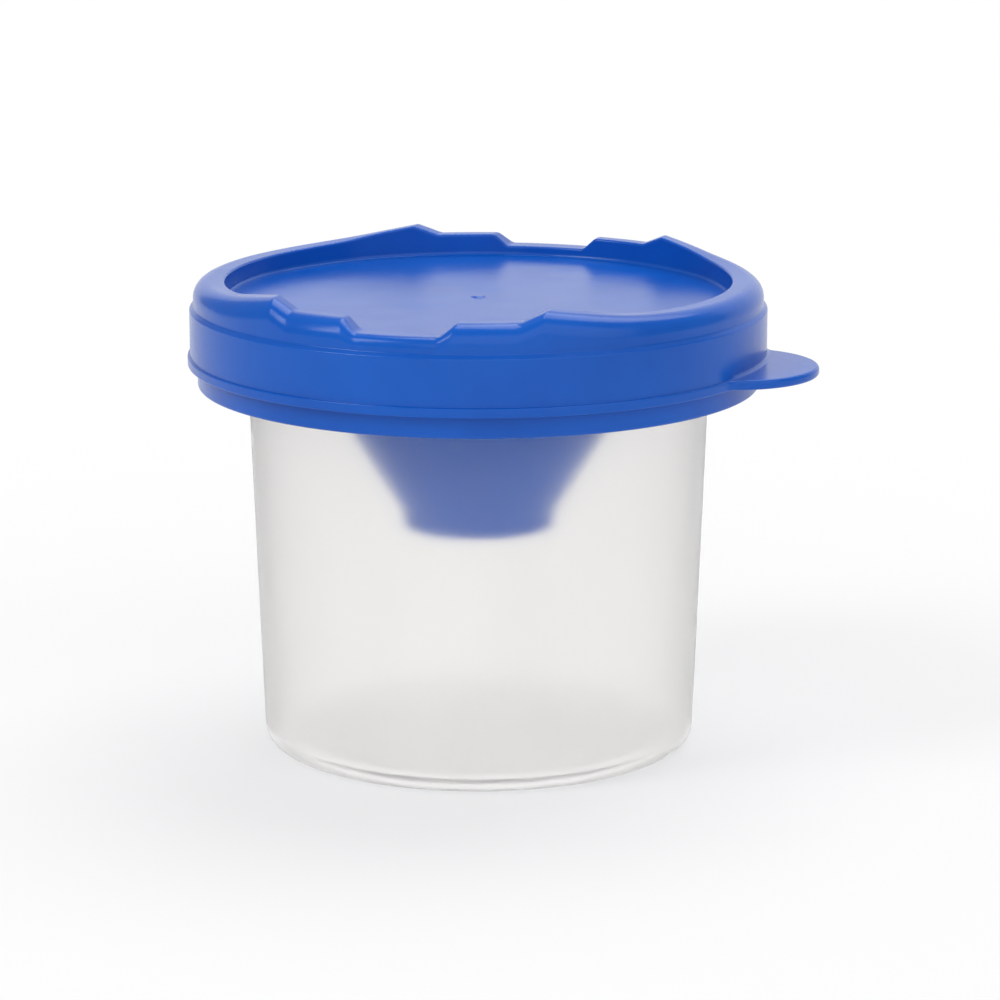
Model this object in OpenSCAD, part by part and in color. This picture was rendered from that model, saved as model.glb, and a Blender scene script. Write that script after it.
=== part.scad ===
// Paint cup with a funnel lid and an over-cap.
// A tapered translucent cup carries a flange round its rim. The funnel lid
// seats on the flange, and the over-cap seats on the lid and plugs the funnel.
// Millimetres, +Z up, origin on the axis at the underside of the foot.
// The cap's pull tab points along +X, and its brush rest runs along Y.

/* [Colours] */
// Colour of the lid and the cap
lid_colour = "#0B58BF"; // ["#0B58BF":Blue, "#D0111F":Red, "#00995A":Green, "#FF6600":Orange, "#F6C400":Yellow, "#5E2C88":Purple]
// Colour of the cup
cup_colour = "#ECEAE8"; // ["#ECEAE8":Milky, "#FFFFFF":White]

/* [Cup] */
// Height from the foot to the rim
cup_h = 68; // [55:1:110]
// Outer diameter of the body at the rim
cup_rim_d = 73; // [70:0.5:80]
// Outer diameter of the body at the foot
cup_base_d = 68; // [50:0.5:72]
// Thickness of the side wall
cup_wall = 0.9; // [0.6:0.1:1.6]
// Thickness of the floor
cup_floor = 1.4; // [0.8:0.1:3]
// Radius of the outer corner round the foot
foot_corner_r = 2.5; // [1.5:0.1:4]
// Width of the ring that the cup stands on
foot_ring_w = 3; // [1:0.5:8]
// Depth of the recess inside that ring
foot_recess = 0.6; // [0.2:0.1:1.5]
// Outer diameter of the flange round the rim
flange_d = 85; // [82:0.5:95]
// Thickness of the flange
flange_t = 1.5; // [1:0.1:2.5]
// Radius of the fillet under the flange
flange_fillet_r = 1; // [0.3:0.1:2]

/* [Funnel lid] */
// Thickness of the lid's flat top
lid_top_t = 1.6; // [1.2:0.1:3]
// Thickness of the skirt
lid_skirt_wall = 1.3; // [0.8:0.1:2.5]
// Height of the skirt
lid_skirt_h = 11.5; // [6:0.5:20]
// Height of the stacking step above the skirt
lid_step_h = 0.7; // [0.4:0.1:1]
// Distance that the stacking step stands in from the skirt
lid_step_in = 1.6; // [1.2:0.1:3]
// Inner diameter of the funnel's mouth
mouth_d = 58; // [40:1:60]
// Height of the straight band inside the mouth
mouth_band_h = 3.5; // [3:0.5:8]
// Inner diameter of the funnel's throat
throat_d = 22; // [12:1:30]
// Height of the straight spout round the throat
throat_h = 2.5; // [1:0.5:6]
// Depth of the funnel below the lid's top
funnel_depth = 35; // [20:1:50]
// Thickness of the funnel's wall
funnel_wall = 1; // [0.8:0.1:2]
// Height of the ring that centres the lid in the cup
centring_h = 5; // [2:0.5:8]
// Thickness of that ring
centring_wall = 1; // [0.6:0.1:2]

/* [Cap] */
// Thickness of the cap's skirt
cap_skirt_wall = 1; // [0.7:0.1:2]
// Distance that the cap reaches down over the lid
cap_reach = 8.8; // [5:0.2:12]
// Thickness of the cap's upper wall and top plate
cap_shell_t = 1.1; // [0.8:0.1:1.8]
// Distance that the upper wall stands in from the skirt
cap_step_in = 0.6; // [0.2:0.1:0.8]
// Depth of the recess in the cap's top, below the lowest part of the rim
recess_depth = 3; // [2:0.1:8]
// Width of the raised rim round the recess
rim_w = 5; // [4.5:0.1:8]
// Radius of the raised rim's outer edge at its peaks
rim_round_r = 3; // [1.5:0.1:3.2]
// Height of the ring that plugs the funnel's mouth
plug_h = 2.9; // [1:0.1:3]
// Thickness of that ring
plug_wall = 1; // [0.6:0.1:2]
// Distance that the bead round the open edge stands out
bead_out = 0.4; // [0.2:0.1:1]
// Height of that bead
bead_h = 1.5; // [0.8:0.1:2.5]

/* [Pull tab] */
// Diameter of the tab's rounded outline
tab_d = 27; // [18:1:32]
// Distance that the tab stands out from the cap's skirt
tab_out = 9; // [5:0.5:12]
// Thickness of the tab
tab_t = 1.5; // [1:0.1:2.5]

/* [Brush rest] */
// Height that the rim's crest climbs to its peaks beside the brush rest
crest_rise = 2.1; // [1.2:0.1:3]
// Width between the outer ends of the step's floor
rest_step_w = 35; // [24:1:50]
// Depth of the step below the peaks
rest_step_depth = 1.6; // [0.8:0.1:2.6]
// Slope of the step's ends, in degrees above level
rest_step_angle = 24; // [15:1:60]
// Width of the notch's floor in the middle of the step
rest_notch_w = 13; // [8:0.5:20]
// Depth of the notch below the step
rest_notch_depth = 1.9; // [0.8:0.1:2.8]
// Slope of the notch's sides, in degrees above level
rest_notch_angle = 42; // [30:1:70]

/* [Clearances] */
// Gap between faces that seat on each other
seat_gap = 0.1; // [0.05:0.05:0.4]
// Gap between the flange and the lid's skirt
skirt_gap = 0.2; // [0.1:0.05:0.5]
// Gap between the cup's wall and the centring ring
centring_gap = 0.2; // [0.1:0.05:0.5]
// Gap between the lid and the cap's skirt
cap_gap = 0.15; // [0.1:0.05:0.5]
// Gap between the funnel's mouth and the plug ring
plug_gap = 0.15; // [0.1:0.05:0.4]

/* [Hidden] */
$fn = 180;
arc_steps = 6;
edge_r = 0.4;
cut = 1;
crest_steps = 8;
cup_alpha = 0.6;

// Cup
rim_r = cup_rim_d / 2;
base_r = cup_base_d / 2;
flange_r = flange_d / 2;
taper = atan((rim_r - base_r) / cup_h);
wall_across = cup_wall / cos(taper);
floor_z = foot_recess + cup_floor;
inner_corner_r = max(edge_r, foot_corner_r - cup_wall);
flange_z = cup_h - flange_t;

// Funnel lid
lid_z = cup_h + seat_gap;
lid_top_z = lid_z + lid_top_t;
shoulder_z = lid_top_z - lid_step_h;
skirt_z = shoulder_z - lid_skirt_h;
skirt_in_r = flange_r + skirt_gap;
lid_r = skirt_in_r + lid_skirt_wall;
step_r = lid_r - lid_step_in;
mouth_r = mouth_d / 2;
mouth_z = lid_top_z - mouth_band_h;
throat_r = throat_d / 2;
throat_z = lid_top_z - funnel_depth;
cone_z = throat_z + throat_h;
cone_angle = atan((mouth_r - throat_r) / (mouth_z - cone_z));
// Where a wall of even thickness bends, its outside bends this far below its inside
bend_drop = funnel_wall * tan(cone_angle / 2);
centring_z = lid_z - centring_h;
centring_r = body_r(centring_z) - wall_across - centring_gap;

// Cap
plate_z = lid_top_z + seat_gap;
recess_z = plate_z + cap_shell_t;
rim_z = recess_z + recess_depth;
peak_z = rim_z + crest_rise;
step_z = peak_z - rest_step_depth;
notch_z = step_z - rest_notch_depth;
cap_z = lid_top_z - cap_reach;
cap_in_r = lid_r + cap_gap;
cap_r = cap_in_r + cap_skirt_wall;
upper_r = cap_r - cap_step_in;
recess_r = upper_r - rim_w;
channel_out_r = upper_r - cap_shell_t;
channel_in_r = recess_r + cap_shell_t;
channel_round_r = rim_round_r - cap_shell_t;
ledge_z = shoulder_z + seat_gap;
cap_shoulder_z = ledge_z + cap_shell_t;
plug_r = mouth_r - plug_gap;
plug_z = plate_z - plug_h;
tab_x = cap_r + tab_out - tab_d / 2;
notch_side_w = rest_notch_depth / tan(rest_notch_angle);
step_side_w = rest_step_depth / tan(rest_step_angle);
peak_x = rest_step_w / 2 + step_side_w;
// Upright thickness of the roof over the channel, which makes it one shell thick on the notch's sides
roof_t = cap_shell_t / cos(rest_notch_angle);

// Radius of the cup's outer wall at a height
function body_r(z) = base_r + z * tan(taper);

// Points along an arc, given its centre, its radius and the angles at its two ends
function arc(centre, r, from, to) = [
    for (i = [0 : arc_steps])
        let (a = from + (to - from) * i / arc_steps)
            centre + r * [cos(a), sin(a)]
];

// Half section of the cup, anticlockwise from the axis under the floor
function cup_section() = concat(
    [[0, foot_recess]],
    [[base_r - foot_corner_r - foot_ring_w, foot_recess]],
    [[base_r - foot_corner_r - foot_ring_w + foot_recess, 0]],
    arc([body_r(foot_corner_r) - foot_corner_r / cos(taper), foot_corner_r], foot_corner_r, -90, -taper),
    arc([body_r(flange_z - flange_fillet_r) + flange_fillet_r / cos(taper), flange_z - flange_fillet_r],
        flange_fillet_r, 180 - taper, 90),
    arc([flange_r - edge_r, flange_z + edge_r], edge_r, -90, 0),
    arc([flange_r - edge_r, cup_h - edge_r], edge_r, 0, 90),
    arc([body_r(cup_h - edge_r) - wall_across + edge_r / cos(taper), cup_h - edge_r], edge_r, 90, 180 - taper),
    arc([body_r(floor_z + inner_corner_r) - wall_across - inner_corner_r / cos(taper), floor_z + inner_corner_r],
        inner_corner_r, -taper, -90),
    [[0, floor_z]]
);

// Half section of the lid, from the foot of its skirt round the outside to the inside
function lid_section() = concat(
    arc([lid_r - edge_r, skirt_z + edge_r], edge_r, -90, 0),
    arc([lid_r - edge_r, shoulder_z - edge_r], edge_r, 0, 90),
    [[step_r, shoulder_z]],
    arc([step_r - edge_r, lid_top_z - edge_r], edge_r, 0, 90),
    arc([mouth_r + edge_r, lid_top_z - edge_r], edge_r, 90, 180),
    [[mouth_r, mouth_z]],
    [[throat_r, cone_z]],
    [[throat_r, throat_z]],
    [[throat_r + funnel_wall, throat_z]],
    [[throat_r + funnel_wall, cone_z - bend_drop]],
    [[mouth_r + funnel_wall, mouth_z - bend_drop]],
    [[mouth_r + funnel_wall, lid_z]],
    [[centring_r - centring_wall, lid_z]],
    [[centring_r - centring_wall, centring_z]],
    arc([centring_r - edge_r, centring_z + edge_r], edge_r, -90, 0),
    [[centring_r, lid_z]],
    [[skirt_in_r, lid_z]],
    [[skirt_in_r, skirt_z + edge_r]],
    [[skirt_in_r + edge_r, skirt_z]]
);

// Half section of everything that the cap's outside encloses, with the rim left high for its crest to be cut
function cap_outline() = concat(
    [[0, cap_z]],
    arc([cap_r + bead_out - edge_r, cap_z + edge_r], edge_r, -90, 0),
    arc([cap_r + bead_out - edge_r, cap_z + bead_h - edge_r], edge_r, 0, 90),
    [[cap_r, cap_z + bead_h]],
    [[cap_r, cap_shoulder_z - cap_step_in]],
    [[upper_r, cap_shoulder_z]],
    arc([upper_r - rim_round_r, peak_z - rim_round_r], rim_round_r, 0, 90),
    [[upper_r - rim_round_r, peak_z + cut]],
    [[recess_r + edge_r, peak_z + cut]],
    arc([recess_r + edge_r, peak_z - edge_r], edge_r, 90, 180),
    [[recess_r, recess_z]],
    [[0, recess_z]]
);

// Half section of the space under the cap, round the plug ring and up into the channel inside the raised rim
function cap_space() = concat(
    [[0, cap_z - cut]],
    [[cap_in_r, cap_z - cut]],
    [[cap_in_r, ledge_z]],
    [[channel_out_r, ledge_z + cap_in_r - channel_out_r]],
    arc([channel_out_r - channel_round_r, peak_z - rim_round_r], channel_round_r, 0, 90),
    [[channel_in_r, peak_z - cap_shell_t]],
    [[channel_in_r, plate_z]],
    [[plug_r, plate_z]],
    [[plug_r, plug_z]],
    [[plug_r - plug_wall, plug_z]],
    [[plug_r - plug_wall, plate_z]],
    [[0, plate_z]]
);

// Height of the rim's crest outside the peaks, at a distance from the middle of the brush rest
function crest_z(x) = rim_z + crest_rise * pow((upper_r - x) / (upper_r - peak_x), 2);

// Outline of one half of the crest seen along Y, from the middle of the brush rest outwards
function half_crest() = concat(
    [
        [rest_notch_w / 2, notch_z],
        [rest_notch_w / 2 + notch_side_w, step_z],
        [rest_step_w / 2, step_z]
    ],
    [
        for (i = [0 : crest_steps])
            let (x = peak_x + (upper_r - peak_x) * i / crest_steps)
                [x, crest_z(x)]
    ],
    [[cap_r, rim_z]]
);

// Everything above the crest, or above a roof that lies a drop below it
module above_crest(drop) {
    right = [for (p = half_crest()) [p[0], p[1] - drop]];
    left = [for (i = [len(right) - 1 : -1 : 0]) [-right[i][0], right[i][1]]];
    above = [[cap_r, peak_z + 2 * cut], [-cap_r, peak_z + 2 * cut]];
    translate([0, cap_r + cut, 0])
        rotate([90, 0, 0])
            linear_extrude(height = 2 * (cap_r + cut))
                polygon(concat(right, above, left));
}

module tab_blank() {
    translate([tab_x, 0, cap_z])
        cylinder(h = tab_t, d = tab_d);
}

module cup() {
    color(cup_colour, cup_alpha)
        rotate_extrude()
            polygon(cup_section());
}

module funnel_lid() {
    color(lid_colour)
        rotate_extrude()
            polygon(lid_section());
}

module cap() {
    color(lid_colour)
        difference() {
            union() {
                rotate_extrude()
                    polygon(cap_outline());
                tab_blank();
            }
            above_crest(0);
            difference() {
                rotate_extrude()
                    polygon(cap_space());
                above_crest(roof_t);
            }
        }
}

cup();
funnel_lid();
cap();
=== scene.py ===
import math

import bmesh
import bpy
import numpy as np
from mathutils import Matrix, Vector


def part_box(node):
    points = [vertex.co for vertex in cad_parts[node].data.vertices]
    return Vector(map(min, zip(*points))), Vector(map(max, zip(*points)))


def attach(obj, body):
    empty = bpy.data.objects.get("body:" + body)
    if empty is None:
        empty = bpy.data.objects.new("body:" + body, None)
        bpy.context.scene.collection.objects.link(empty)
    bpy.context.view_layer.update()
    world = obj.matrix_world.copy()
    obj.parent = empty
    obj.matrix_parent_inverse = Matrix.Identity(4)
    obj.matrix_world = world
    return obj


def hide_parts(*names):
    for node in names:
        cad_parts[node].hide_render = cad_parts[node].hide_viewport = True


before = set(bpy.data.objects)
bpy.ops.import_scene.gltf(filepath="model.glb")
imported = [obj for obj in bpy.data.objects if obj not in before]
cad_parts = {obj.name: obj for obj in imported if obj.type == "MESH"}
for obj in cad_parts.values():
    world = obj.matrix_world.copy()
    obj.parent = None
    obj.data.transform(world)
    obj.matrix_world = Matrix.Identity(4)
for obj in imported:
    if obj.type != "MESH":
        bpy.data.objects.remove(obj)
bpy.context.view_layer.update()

# A closed paint cup: a milky tapered cup, a funnel lid over its rim and a snap cap with a brush rest.
# The pieces' lengths are in millimetres until a mesh is made, and in the frame of the CAD model.
# Those of the materials, the stage, the camera and the lamps are in metres.
# Each piece is drawn as a half section, whose corners are given as (radius, height, rounding).

MM = 0.001
CUP_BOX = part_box("cup")
LID_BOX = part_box("funnel_lid")
CAP_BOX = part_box("cap")
SEAT_GAP = 0.1

# Cup
CUP_H = CUP_BOX[1].z / MM
FOOT_R = 34.0
RIM_R = 36.5
CUP_WALL = 0.9
FLOOR_Z = 2.0
FOOT_RECESS = 0.6
FOOT_RECESS_R = 28.5
FOOT_CORNER_R = 2.5
FLOOR_FILLET_R = 1.6
FLANGE_R = 42.5
FLANGE_T = 1.5
FLANGE_FILLET_R = 1.0
CUP_GATE_R = 1.0
CUP_GATE_H = 0.3
CUP_GATE_ROUND = 0.12

# Funnel lid
THROAT_Z = LID_BOX[0].z / MM
LID_TOP_Z = LID_BOX[1].z / MM
LID_T = 1.6
LID_R = 44.0
LID_SKIRT_H = 11.5
LID_SKIRT_WALL = 1.3
LID_STEP_H = 0.7
LID_STEP_IN = 1.6
LID_STEP_FILLET_R = 0.2
MOUTH_R = 29.0
MOUTH_BAND_H = 3.5
THROAT_R = 11.0
THROAT_H = 2.5
FUNNEL_WALL = 1.0
FUNNEL_BEND_IN_R = 1.0
FUNNEL_BEND_OUT_R = 1.5
CENTRING_R = 35.22
CENTRING_WALL = 1.0
CENTRING_H = 5.0

# Cap
CAP_Z = CAP_BOX[0].z / MM
PEAK_Z = CAP_BOX[1].z / MM
CAP_IN_R = 44.15
CAP_R = 45.15
CAP_T = 1.1
UPPER_R = 44.55
RECESS_R = 39.55
RIM_ROUND_R = 3.0
LOW_RIM_ROUND_SHARE = 0.68
ROOF_T = 1.3
PLATE_Z = LID_TOP_Z + SEAT_GAP
RECESS_Z = PLATE_Z + CAP_T
LEDGE_Z = LID_TOP_Z - LID_STEP_H + SEAT_GAP
SHOULDER_Z = LEDGE_Z + CAP_T
PLUG_R = 28.85
PLUG_WALL = 1.0
PLUG_H = 2.9
CAP_GATE_R = 0.8
CAP_GATE_FOOT_R = 1.3
CAP_GATE_H = 0.2
CAP_GATE_ROUND = 0.18
CAP_GATE_FILLET_R = 0.25

# Open edge of the cap: a bead, which widens into the pull tab on +X
BEAD_R = 45.53
BEAD_H = 1.5
BEAD_FILLET_SHARE = 0.25
LIP_ROUND_R = 0.55
LIP_ROUND_SHARE = 0.6
TAB_R = 13.5
TAB_X = CAP_BOX[1].x / MM - TAB_R
TAB_FILLET_R = 3.0

# Crest of the cap's rim, by the distance along X from the middle of the brush rest
LOW_CREST_Z = PEAK_Z - 2.1
STEP_Z = PEAK_Z - 1.6
NOTCH_Z = STEP_Z - 1.9
NOTCH_END_X = 6.5
STEP_START_X = 8.61
STEP_END_X = 17.5
PEAK_X = 21.09
PEAK_FLANK = 1.5
NOTCH_ROUND = 1.4
STEP_START_ROUND = 1.1
STEP_END_ROUND = 2.0
PEAK_ROUND = 0.8
STRAIGHT_TO_X = 24
RADIAL_FROM_X = 36

# Roundings of edges and corners
FINE_R = 0.3
EDGE_R = 0.4
SOFT_R = 0.6

# Fineness of the meshes: steps round the axis and in each rounding, distance from a rounding of the
# point that keeps the straight stretch flat, and the cap's columns: how wide they may be in the brush
# rest, and their number from the middle of the tab to the turn where they become a degree wide
LATHE_STEPS = 320
CORNER_STEPS = 6
HOLD = 0.1
REST_STEP = 0.8
TAB_STEPS = 40
TAB_DEGREES = 20

# Colours of the plastics: the deepest and the palest of their mottling
BLUE_DEEP = (0.0014, 0.082, 0.445, 1)
BLUE_PALE = (0.0026, 0.098, 0.5, 1)
MILK_DEEP = (0.922, 0.914, 0.905, 1)
MILK_PALE = (0.957, 0.95, 0.942, 1)

# Roughness of the plastics: where they are glossiest and dullest, and what the hairlines lean towards
BLUE_GLOSSY = 0.2
BLUE_DULL = 0.25
HAIRLINE_ROUGH = 0.265
MILK_GLOSSY = 0.29
MILK_DULL = 0.38

# Stage and surround: the floor's own grey, how much of it is plain white near the object, the
# distances in metres between which that share grows to all of it, and the surround's strength
FLOOR_GREY = 0.84
NEAR_WHITE = 0.55
NEAR_TO = 0.06
FAR_FROM = 0.28
SURROUND_STRENGTH = 0.35

# Camera and lamps, in metres and degrees
AZIMUTH = 16
ELEVATION = 13
DISTANCE = 0.63
FRAME_W = 0.158
SENSOR_W = 36
TARGET = Vector((0.0035, 0, 0.0385))
LAMP_TARGET = Vector((0, 0, 0.04))


def unit(vector):
    return vector / np.linalg.norm(vector)


def half_angle(back, ahead):
    """Half the angle between two directions."""
    return math.acos(max(-1, min(1, back @ ahead))) / 2


def rounded(corners):
    """The points of an outline whose corners (r, z, rounding) are turned into arcs.

    Beside each arc one more point keeps the straight stretch flat under smooth shading. It lies
    HOLD away from the arc, or a third of the stretch where that is less.
    """
    places = [np.array(corner[:2], float) for corner in corners]
    count = len(corners)
    reach = [0.0] * count
    for i, (_, _, rounding) in enumerate(corners):
        if rounding > 0:
            back = unit(places[i - 1] - places[i])
            ahead = unit(places[(i + 1) % count] - places[i])
            reach[i] = rounding / math.tan(half_angle(back, ahead))
    points = []
    for i, (_, _, rounding) in enumerate(corners):
        if rounding == 0:
            points.append(places[i])
            continue
        after = (i + 1) % count
        back, ahead = places[i - 1] - places[i], places[after] - places[i]
        spare_back = np.linalg.norm(back) - reach[i] - reach[i - 1]
        spare_ahead = np.linalg.norm(ahead) - reach[i] - reach[after]
        if min(spare_back, spare_ahead) < 0:
            raise ValueError(f"the corner {corners[i]} is rounder than its sides are long")
        back, ahead = unit(back), unit(ahead)
        start, end = places[i] + back * reach[i], places[i] + ahead * reach[i]
        centre = places[i] + unit(back + ahead) * rounding / math.sin(half_angle(back, ahead))
        first = math.atan2(*(start - centre)[::-1])
        turn = math.atan2(*(end - centre)[::-1]) - first
        turn = (turn + math.pi) % (2 * math.pi) - math.pi
        points.append(start + back * min(HOLD, spare_back / 3))
        for k in range(CORNER_STEPS + 1):
            t = first + turn * k / CORNER_STEPS
            points.append(centre + rounding * np.array((math.cos(t), math.sin(t))))
        points.append(end + ahead * min(HOLD, spare_ahead / 3))
    return points


def mesh_object(name, rings, closed=False):
    """A smooth mesh of quads between rings of points; a ring of one point is a pole."""
    bm = bmesh.new()
    rows = [[bm.verts.new(Vector(point) * MM) for point in ring] for ring in rings]
    pairs = list(zip(rows, rows[1:] + rows[:1]))
    for lower, upper in pairs if closed else pairs[:-1]:
        count = max(len(lower), len(upper))
        for i in range(count):
            j = (i + 1) % count
            quad = [row[k % len(row)] for row, k in ((lower, i), (lower, j), (upper, j), (upper, i))]
            bm.faces.new(list(dict.fromkeys(quad)))
    bmesh.ops.recalc_face_normals(bm, faces=bm.faces)
    mesh = bpy.data.meshes.new(name)
    bm.to_mesh(mesh)
    bm.free()
    mesh.shade_smooth()
    obj = bpy.data.objects.new(name, mesh)
    bpy.context.scene.collection.objects.link(obj)
    return obj


def lathe(name, section, closed=False):
    """A solid of revolution; a point on the axis becomes a pole."""
    turns = [2 * math.pi * i / LATHE_STEPS for i in range(LATHE_STEPS)]
    rings = []
    for r, z in section:
        ring = [(r * math.cos(t), r * math.sin(t), z) for t in turns]
        rings.append(ring if r > 0 else ring[:1])
    return mesh_object(name, rings, closed)


def make_cup():
    """The cup: foot ring with a gate mark inside it, tapered wall and a flange with a rounded edge."""
    slope = (RIM_R - FOOT_R) / CUP_H
    flange_z = CUP_H - FLANGE_T
    gate_z = FOOT_RECESS - CUP_GATE_H
    return lathe("cup_shell", rounded([
        (0, gate_z, 0),
        (CUP_GATE_R, gate_z, CUP_GATE_ROUND),
        (CUP_GATE_R + CUP_GATE_H, FOOT_RECESS, CUP_GATE_ROUND),
        (FOOT_RECESS_R, FOOT_RECESS, EDGE_R),
        (FOOT_RECESS_R + FOOT_RECESS, 0, FINE_R),
        (FOOT_R, 0, FOOT_CORNER_R),
        (FOOT_R + slope * flange_z, flange_z, FLANGE_FILLET_R),
        (FLANGE_R, flange_z, SOFT_R),
        (FLANGE_R, CUP_H, SOFT_R),
        (RIM_R - CUP_WALL, CUP_H, EDGE_R),
        (FOOT_R + slope * FLOOR_Z - CUP_WALL, FLOOR_Z, FLOOR_FILLET_R),
        (0, FLOOR_Z, 0),
    ]))


def make_lid():
    """The funnel lid: skirt, stacking step, mouth, cone, spout and the ring that centres it."""
    shoulder_z = LID_TOP_Z - LID_STEP_H
    skirt_z = shoulder_z - LID_SKIRT_H
    skirt_in_r = LID_R - LID_SKIRT_WALL
    under_z = LID_TOP_Z - LID_T
    step_r = LID_R - LID_STEP_IN
    mouth_z = LID_TOP_Z - MOUTH_BAND_H
    cone_z = THROAT_Z + THROAT_H
    cone_angle = math.atan2(MOUTH_R - THROAT_R, mouth_z - cone_z)
    # Where the funnel's wall bends, its outside bends this far below its inside
    bend_drop = FUNNEL_WALL * math.tan(cone_angle / 2)
    centring_z = under_z - CENTRING_H
    centring_in_r = CENTRING_R - CENTRING_WALL
    return lathe("funnel_lid_shell", rounded([
        (LID_R, skirt_z, EDGE_R),
        (LID_R, shoulder_z, EDGE_R),
        (step_r, shoulder_z, LID_STEP_FILLET_R),
        (step_r, LID_TOP_Z, EDGE_R),
        (MOUTH_R, LID_TOP_Z, SOFT_R),
        (MOUTH_R, mouth_z, FUNNEL_BEND_IN_R),
        (THROAT_R, cone_z, FUNNEL_BEND_IN_R),
        (THROAT_R, THROAT_Z, EDGE_R),
        (THROAT_R + FUNNEL_WALL, THROAT_Z, EDGE_R),
        (THROAT_R + FUNNEL_WALL, cone_z - bend_drop, FUNNEL_BEND_OUT_R),
        (MOUTH_R + FUNNEL_WALL, mouth_z - bend_drop, FUNNEL_BEND_OUT_R),
        (MOUTH_R + FUNNEL_WALL, under_z, SOFT_R),
        (centring_in_r, under_z, EDGE_R),
        (centring_in_r, centring_z, FINE_R),
        (CENTRING_R, centring_z, EDGE_R),
        (CENTRING_R, under_z, FINE_R),
        (skirt_in_r, under_z, FINE_R),
        (skirt_in_r, skirt_z, EDGE_R),
    ]), closed=True)


def crest_climb(x):
    """Height of the rim's crest outside its peaks."""
    return LOW_CREST_Z + (PEAK_Z - LOW_CREST_Z) * ((UPPER_R - x) / (UPPER_R - PEAK_X)) ** 2


def lip_radius(turn):
    """Radius of the cap's open edge at a turn from +X: the bead, the fillet beside the tab, or the tab.

    The fillet is part of a circle that touches the bead's circle and the tab's circle from outside.
    """
    turn = abs((turn + math.pi) % (2 * math.pi) - math.pi)
    far = BEAD_R + TAB_FILLET_R
    fillet_x = (far ** 2 + TAB_X ** 2 - (TAB_R + TAB_FILLET_R) ** 2) / (2 * TAB_X)
    fillet_y = math.sqrt(far ** 2 - fillet_x ** 2)
    bead_turn = math.atan2(fillet_y, fillet_x)
    share = TAB_R / (TAB_R + TAB_FILLET_R)
    tab_turn = math.atan2(fillet_y * share, TAB_X + (fillet_x - TAB_X) * share)
    if turn >= bead_turn:
        return BEAD_R
    if turn >= tab_turn:
        off = turn - bead_turn
        return far * math.cos(off) - math.sqrt(TAB_FILLET_R ** 2 - (far * math.sin(off)) ** 2)
    return TAB_X * math.cos(turn) + math.sqrt(TAB_R ** 2 - (TAB_X * math.sin(turn)) ** 2)


def crest_columns():
    """(turn, crest height) of each upright column of the cap's mesh, once round from +X."""
    flank_x = PEAK_X + PEAK_FLANK
    corners = rounded([
        (0, NOTCH_Z, 0),
        (NOTCH_END_X, NOTCH_Z, NOTCH_ROUND),
        (STEP_START_X, STEP_Z, STEP_START_ROUND),
        (STEP_END_X, STEP_Z, STEP_END_ROUND),
        (PEAK_X, PEAK_Z, PEAK_ROUND),
        (flank_x, crest_climb(flank_x), 0),
    ])
    line = corners[:1]
    for corner in corners[1:]:
        start = line[-1]
        pieces = math.ceil((corner[0] - start[0]) / REST_STEP)
        line += [start + (corner - start) * k / pieces for k in range(1, pieces + 1)]
    quarter = [(math.acos(x / UPPER_R), z) for x, z in line]
    flank = math.degrees(quarter[-1][0])
    steps = math.floor(flank) - TAB_DEGREES
    turns = [flank + (TAB_DEGREES - flank) * k / steps for k in range(1, steps + 1)]
    turns += [TAB_DEGREES * (1 - k / TAB_STEPS) for k in range(1, TAB_STEPS + 1)]
    quarter += [(math.radians(t), crest_climb(UPPER_R * math.cos(math.radians(t)))) for t in turns]
    quarter.reverse()
    half = quarter + [(math.pi - t, z) for t, z in reversed(quarter[:-1])]
    return half + [(t + math.pi, z) for t, z in half[1:-1]]


def cap_section(crest, lip):
    """The cap's half section where the crest has this height and the open edge this radius."""
    round_r = min(RIM_ROUND_R, LOW_RIM_ROUND_SHARE * (crest - SHOULDER_Z))
    out = lip - CAP_R
    lip_round = min(LIP_ROUND_R, LIP_ROUND_SHARE * out)
    channel_out_r = UPPER_R - CAP_T
    channel_in_r = RECESS_R + CAP_T
    plug_in_r = PLUG_R - PLUG_WALL
    plug_z = PLATE_Z - PLUG_H
    return rounded([
        (0, RECESS_Z + CAP_GATE_H, 0),
        (CAP_GATE_R, RECESS_Z + CAP_GATE_H, CAP_GATE_ROUND),
        (CAP_GATE_FOOT_R, RECESS_Z, CAP_GATE_FILLET_R),
        (RECESS_R / 2, RECESS_Z, 0),
        (RECESS_R, RECESS_Z, SOFT_R),
        (RECESS_R, crest, EDGE_R),
        (UPPER_R, crest, round_r),
        (UPPER_R, SHOULDER_Z, FINE_R),
        (CAP_R, SHOULDER_Z - (CAP_R - UPPER_R), FINE_R),
        (CAP_R, CAP_Z + BEAD_H, min(SOFT_R, BEAD_FILLET_SHARE * out)),
        (lip, CAP_Z + BEAD_H, lip_round),
        (lip, CAP_Z, lip_round),
        (CAP_IN_R, CAP_Z, FINE_R),
        (CAP_IN_R, LEDGE_Z, FINE_R),
        (channel_out_r, PLATE_Z, FINE_R),
        (channel_out_r, crest - ROOF_T, max(FINE_R, round_r - CAP_T)),
        (channel_in_r, crest - ROOF_T, FINE_R),
        (channel_in_r, PLATE_Z, FINE_R),
        (PLUG_R, PLATE_Z, EDGE_R),
        (PLUG_R, plug_z, EDGE_R),
        (plug_in_r, plug_z, EDGE_R),
        (plug_in_r, PLATE_Z, EDGE_R),
        (plug_in_r / 2, PLATE_Z, 0),
        (0, PLATE_Z, 0),
    ])


def smooth_step(low, high, value):
    """0 up to the low value and 1 from the high one on, with a smooth climb between them."""
    t = min(1, max(0, (value - low) / (high - low)))
    return t * t * (3 - 2 * t)


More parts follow.
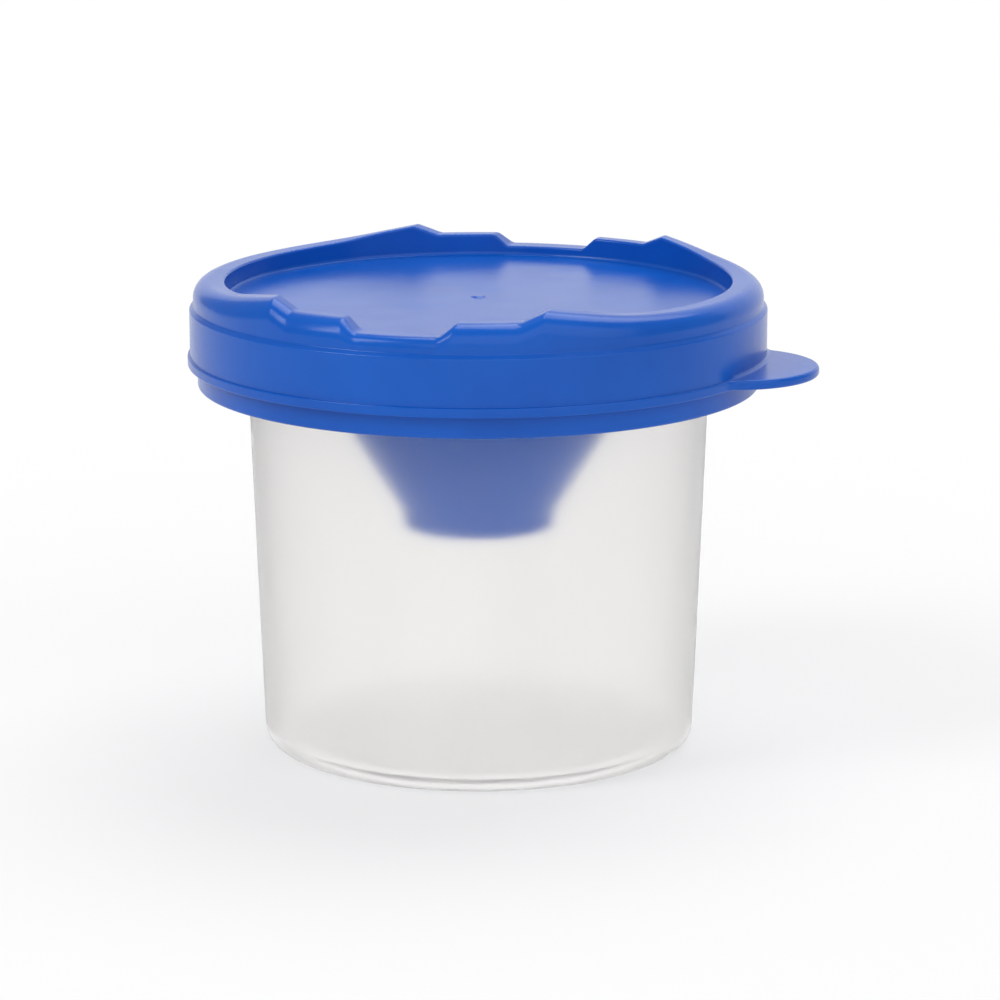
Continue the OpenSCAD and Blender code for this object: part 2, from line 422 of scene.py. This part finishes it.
def make_cap():
    """The cap, as upright columns of its section round the axis.

    Beside the brush rest the columns cross the rim along Y, so that the notch has parallel sides.
    """
    columns = []
    for turn, crest in crest_columns():
        x = UPPER_R * math.cos(turn)
        along_y = 1 - smooth_step(STRAIGHT_TO_X, RADIAL_FROM_X, abs(x))
        column = []
        for r, z in cap_section(crest, lip_radius(turn)):
            t = turn
            if along_y > 0 and r < UPPER_R:
                straight = math.acos(x / max(r, RECESS_R))
                if turn > math.pi:
                    straight = 2 * math.pi - straight
                t += along_y * (straight - turn)
            column.append((r * math.cos(t), r * math.sin(t), z))
        columns.append(column)
    rings = [list(ring) for ring in zip(*columns)]
    # The section starts and ends on the axis, where a ring shrinks to a pole
    rings[0] = rings[0][:1]
    rings[-1] = rings[-1][:1]
    return mesh_object("cap_shell", rings)


def grey(value):
    return (value, value, value, 1)


class Nodes:
    """The node tree of a material or world, with short ways to add the nodes that these share."""

    def __init__(self, owner):
        owner.use_nodes = True
        self.tree = owner.node_tree
        self.link = self.tree.links.new

    def add(self, kind, **inputs):
        """A node of this kind, with constants on the inputs of these names."""
        node = self.tree.nodes.new("ShaderNode" + kind)
        for key, value in inputs.items():
            node.inputs[key.replace("_", " ")].default_value = value
        return node

    def noise(self, place, scale, detail, roughness):
        """A value between 0 and 1 that wanders smoothly from place to place."""
        node = self.add("TexNoise", Scale=scale, Detail=detail, Roughness=roughness)
        self.link(place, node.inputs["Vector"])
        return node.outputs["Fac"]

    def ramp(self, value, low, high, dark, light):
        """A colour that runs from dark, at the low value, to light, at the high one."""
        node = self.add("ValToRGB")
        ends = node.color_ramp.elements
        ends[0].position, ends[0].color = low, dark
        ends[1].position, ends[1].color = high, light
        self.link(value, node.inputs["Fac"])
        return node.outputs["Color"]

    def blend(self, factor, first, second):
        """A colour that goes from the first one, a socket, to the second one, a constant."""
        node = self.add("Mix")
        node.data_type = "RGBA"
        self.link(factor, node.inputs["Factor"])
        self.link(first, node.inputs["A"])
        node.inputs["B"].default_value = second
        return node.outputs["Result"]

    def bump(self, height, strength, distance, under=None):
        """Bumps a height into the surface, over an earlier bump where one is given."""
        node = self.add("Bump", Strength=strength, Distance=distance)
        self.link(height, node.inputs["Height"])
        if under is not None:
            self.link(under, node.inputs["Normal"])
        return node.outputs["Normal"]

    def math(self, operation, first, second):
        node = self.add("Math")
        node.operation = operation
        self.link(first, node.inputs[0])
        self.link(second, node.inputs[1])
        return node.outputs[0]

    def feed(self, name, linked, **plain):
        """Feeds the node of this name with sockets, and with constants that are set on it."""
        node = self.tree.nodes[name]
        for key, socket in linked.items():
            self.link(socket, node.inputs[key])
        for key, value in plain.items():
            node.inputs[key.replace("_", " ")].default_value = value


def blue_plastic():
    """Satin-gloss blue polypropylene: faint mottling, hairlines, shallow sink waves and orange peel."""
    material = bpy.data.materials.new("blue_satin")
    nodes = Nodes(material)
    place = nodes.add("TexCoord").outputs["Object"]
    mottle = nodes.noise(place, scale=55, detail=3, roughness=0.55)
    haze = nodes.noise(place, scale=130, detail=4, roughness=0.6)
    gloss = nodes.ramp(haze, low=0.3, high=0.75, dark=grey(BLUE_GLOSSY), light=grey(BLUE_DULL))

    # Noise squeezed along Y lies in thin sheets, which the surface cuts as hairlines
    drawn = nodes.add("Mapping", Rotation=(0.4, 0.9, 0.2), Scale=(1, 40, 1))
    nodes.link(place, drawn.inputs["Vector"])
    streaks = nodes.noise(drawn.outputs["Vector"], scale=90, detail=2, roughness=0.5)
    hairlines = nodes.ramp(streaks, low=0.64, high=0.68, dark=grey(0), light=grey(0.6))

    sink = nodes.noise(place, scale=110, detail=1, roughness=0.4)
    waves = nodes.bump(sink, strength=0.3, distance=0.0001)
    dimples = nodes.noise(place, scale=620, detail=2, roughness=0.5)
    nodes.feed(
        "Principled BSDF",
        {
            "Base Color": nodes.ramp(mottle, low=0.35, high=0.7, dark=BLUE_DEEP, light=BLUE_PALE),
            "Roughness": nodes.blend(hairlines, gloss, grey(HAIRLINE_ROUGH)),
            "Normal": nodes.bump(dimples, strength=0.3, distance=0.00008, under=waves),
        },
        Specular_IOR_Level=0.28,
        Subsurface_Weight=0.06,
        Subsurface_Radius=(0.3, 0.6, 1.0),
        Subsurface_Scale=0.0012,
    )
    return material


def milky_plastic():
    """Frosted translucent polypropylene, slightly warm, with upright clouds, sink waves and a fine grain."""
    material = bpy.data.materials.new("milky_frosted")
    nodes = Nodes(material)
    place = nodes.add("TexCoord").outputs["Object"]
    drawn = nodes.add("Mapping", Scale=(1, 1, 0.3))
    nodes.link(place, drawn.inputs["Vector"])
    upright = drawn.outputs["Vector"]
    cloud = nodes.noise(upright, scale=95, detail=4, roughness=0.55)
    rough = nodes.ramp(cloud, low=0.3, high=0.75, dark=grey(MILK_GLOSSY), light=grey(MILK_DULL))

    sink = nodes.noise(upright, scale=130, detail=1, roughness=0.4)
    waves = nodes.bump(sink, strength=0.4, distance=0.0001)
    frost = nodes.noise(place, scale=900, detail=2, roughness=0.5)
    nodes.feed(
        "Principled BSDF",
        {
            "Base Color": nodes.ramp(cloud, low=0.3, high=0.75, dark=MILK_DEEP, light=MILK_PALE),
            "Roughness": rough,
            "Normal": nodes.bump(frost, strength=0.25, distance=0.00006, under=waves),
        },
        IOR=1.14,
        Transmission_Weight=0.95,
        Subsurface_Weight=0.3,
        Subsurface_Radius=(1.0, 0.95, 0.9),
        Subsurface_Scale=0.0006,
    )
    return material


def stage_white():
    """A plain pale surface that is seen, and reflected, as partly plain white near the object.

    Away from the object, and through the translucent cup, it is plain white.
    """
    material = bpy.data.materials.new("stage_white")
    nodes = Nodes(material)
    nodes.tree.nodes.clear()
    distance = nodes.add("VectorMath")
    distance.operation = "LENGTH"
    nodes.link(nodes.add("TexCoord").outputs["Object"], distance.inputs[0])
    share = nodes.add("MapRange", From_Min=NEAR_TO, From_Max=FAR_FROM, To_Min=NEAR_WHITE, To_Max=1.0)
    share.interpolation_type = "SMOOTHSTEP"
    nodes.link(distance.outputs["Value"], share.inputs["Value"])
    path = nodes.add("LightPath").outputs
    seen = nodes.math("MAXIMUM", path["Is Camera Ray"], path["Is Glossy Ray"])
    white = nodes.math("MULTIPLY", seen, share.outputs["Result"])

    mix = nodes.add("MixShader")
    nodes.link(nodes.math("MAXIMUM", white, path["Is Transmission Ray"]), mix.inputs["Fac"])
    nodes.link(nodes.add("BsdfDiffuse", Color=grey(FLOOR_GREY)).outputs[0], mix.inputs[1])
    nodes.link(nodes.add("Emission", Strength=1.0).outputs[0], mix.inputs[2])
    nodes.link(mix.outputs[0], nodes.add("OutputMaterial").inputs["Surface"])
    return material


def make_stage():
    """A pale floor that curves up into a backdrop behind the object."""
    half_w, front, back, bend_r, top = 3.0, -3.0, 2.2, 0.9, 2.6
    bend_steps = 24
    line = [(front, 0.0), (0.0, 0.0), (back, 0.0)]
    for k in range(1, bend_steps + 1):
        turn = math.pi / 2 * k / bend_steps
        line.append((back + bend_r * math.sin(turn), bend_r * (1 - math.cos(turn))))
    line.append((back + bend_r, top))
    mesh = bpy.data.meshes.new("floor")
    places = [(x, y, z) for y, z in line for x in (-half_w, half_w)]
    faces = [(2 * i, 2 * i + 1, 2 * i + 3, 2 * i + 2) for i in range(len(line) - 1)]
    mesh.from_pydata(places, [], faces)
    mesh.shade_smooth()
    floor = bpy.data.objects.new("floor", mesh)
    bpy.context.scene.collection.objects.link(floor)
    floor.data.materials.append(stage_white())


def area_light(name, place, size, power):
    """A rectangular lamp of a size and a power in watts, aimed at the middle of the object."""
    data = bpy.data.lights.new(name, "AREA")
    data.shape = "RECTANGLE"
    data.size, data.size_y = size
    data.energy = power
    light = bpy.data.objects.new(name, data)
    light.location = place
    light.rotation_euler = (LAMP_TARGET - Vector(place)).to_track_quat("-Z", "Y").to_euler()
    bpy.context.scene.collection.objects.link(light)


def make_lights():
    """Plain soft light: a key from the upper left, a broad fill from the right, a sheet above and behind."""
    area_light("key", place=(-0.75, -0.75, 0.95), size=(0.45, 0.8), power=7)
    area_light("fill", place=(0.8, -1.05, 0.75), size=(2.6, 1.4), power=12)
    area_light("top", place=(0.1, 0.5, 1.1), size=(0.9, 0.9), power=8)


def make_world():
    """A dim surround, which is plain white to the camera and through the translucent cup."""
    world = bpy.data.worlds.new("studio")
    bpy.context.scene.world = world
    nodes = Nodes(world)
    path = nodes.add("LightPath").outputs
    seen = nodes.math("MAXIMUM", path["Is Camera Ray"], path["Is Transmission Ray"])
    strength = nodes.add("MapRange", To_Min=SURROUND_STRENGTH, To_Max=1.0)
    nodes.link(seen, strength.inputs["Value"])
    nodes.feed("Background", {"Strength": strength.outputs["Result"]}, Color=grey(1))


def make_camera():
    """A long lens, as high over the lid as the photograph was taken."""
    azimuth, elevation = math.radians(AZIMUTH), math.radians(ELEVATION)
    away = Vector((
        math.sin(azimuth) * math.cos(elevation),
        -math.cos(azimuth) * math.cos(elevation),
        math.sin(elevation),
    ))
    data = bpy.data.cameras.new("camera")
    data.sensor_width = SENSOR_W
    data.lens = SENSOR_W * DISTANCE / FRAME_W
    camera = bpy.data.objects.new("camera", data)
    camera.location = TARGET + away * DISTANCE
    camera.rotation_euler = (-away).to_track_quat("-Z", "Y").to_euler()
    bpy.context.scene.collection.objects.link(camera)
    bpy.context.scene.camera = camera


def dress(piece, node, material):
    """Puts a piece in the place of its CAD node, which has the name of the body that it rides on."""
    piece.data.materials.append(material)
    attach(piece, node)
    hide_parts(node)


bpy.context.scene.view_settings.view_transform = "Standard"
make_camera()
make_stage()
make_lights()
make_world()
blue = blue_plastic()
dress(make_cup(), "cup", milky_plastic())
dress(make_lid(), "funnel_lid", blue)
dress(make_cap(), "cap", blue)
